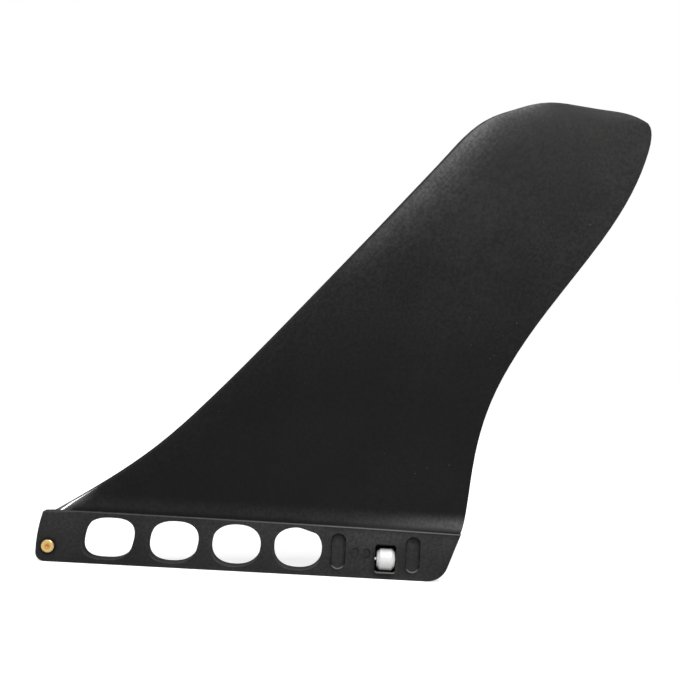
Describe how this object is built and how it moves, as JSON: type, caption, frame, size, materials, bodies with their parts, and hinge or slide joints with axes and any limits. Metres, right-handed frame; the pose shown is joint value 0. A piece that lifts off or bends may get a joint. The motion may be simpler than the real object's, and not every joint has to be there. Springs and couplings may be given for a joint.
{
  "type": "surfboard centre fin",
  "caption": "Swept surfboard centre fin, a foil blade on a drop-in tongue with a cross pin and a roller in a window.",
  "frame": {"origin": "middle of the tongue's top, on the mid-plane of its thickness, where the fin meets the board", "axes": "+X along the tongue to the trailing edge, +Y across the thickness, +Z out of the board to the tip"},
  "size_m": [0.3048, 0.0132, 0.2493],
  "materials": {
    "fin_body": "satin, fine grain, black",
    "cross_pin": "turned, worn bright",
    "roller": "white, semi-gloss",
    "roller_axle": "drawn pin"
  },
  "bodies": {
    "fin": {"fin_body": "fin_body", "cross_pin": "cross_pin", "roller_axle": "roller_axle"},
    "roller": {"roller": "roller"}
  },
  "joints": [
    {"name": "roller_spin", "type": "hinge", "parent": "fin", "child": "roller", "pos_m": [0.06945, 0, -0.0166], "axis": [1, 0, 0], "continuous": true}
  ]
}
